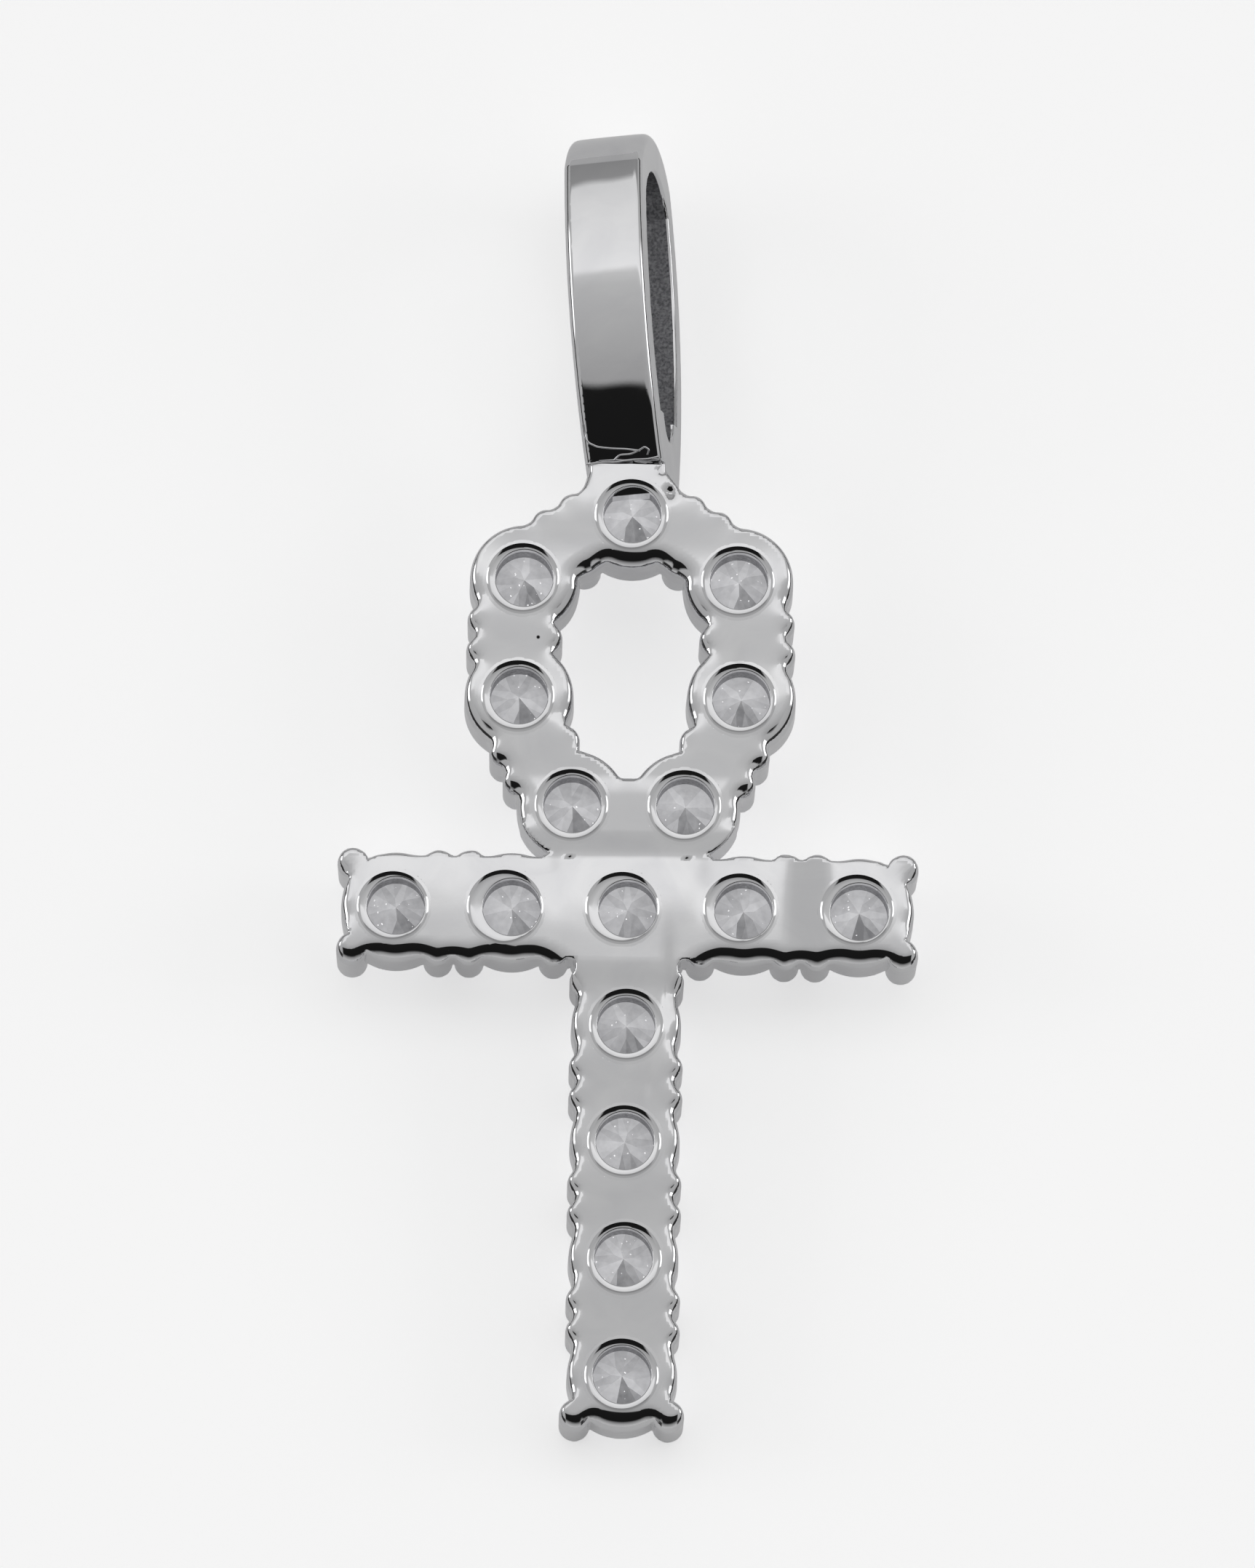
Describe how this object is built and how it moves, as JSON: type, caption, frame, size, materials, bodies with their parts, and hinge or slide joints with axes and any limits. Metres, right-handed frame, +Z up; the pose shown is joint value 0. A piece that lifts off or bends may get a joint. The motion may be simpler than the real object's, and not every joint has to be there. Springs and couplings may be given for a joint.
{
  "type": "ankh pendant",
  "caption": "Ankh pendant lying face down: a polished setting of open-backed cups with prongs, round clear stones, and a tall soldered bail with small stones in its front.",
  "frame": {"origin": "middle of the pendant's box, on the surface that it lies on", "axes": "+X to the right as seen from the back, +Y towards the bail, +Z up, out of the plain back; the stones' tables look down"},
  "size_m": [0.0232, 0.053, 0.0079],
  "materials": {
    "white_metal": "mirror-polished silver with a rhodium plate",
    "stone": "clear cut stone, bright cut facets"
  },
  "bodies": {
    "root": {"setting": "white_metal", "loop_stone_1": "stone", "loop_stone_2": "stone", "loop_stone_3": "stone", "loop_stone_4": "stone", "loop_stone_5": "stone", "loop_stone_6": "stone", "loop_stone_7": "stone", "bar_stone_1": "stone", "bar_stone_2": "stone", "bar_stone_3": "stone", "bar_stone_4": "stone", "bar_stone_5": "stone", "stem_stone_1": "stone", "stem_stone_2": "stone", "stem_stone_3": "stone", "stem_stone_4": "stone", "bail_stones": "stone"}
  },
  "joints": []
}
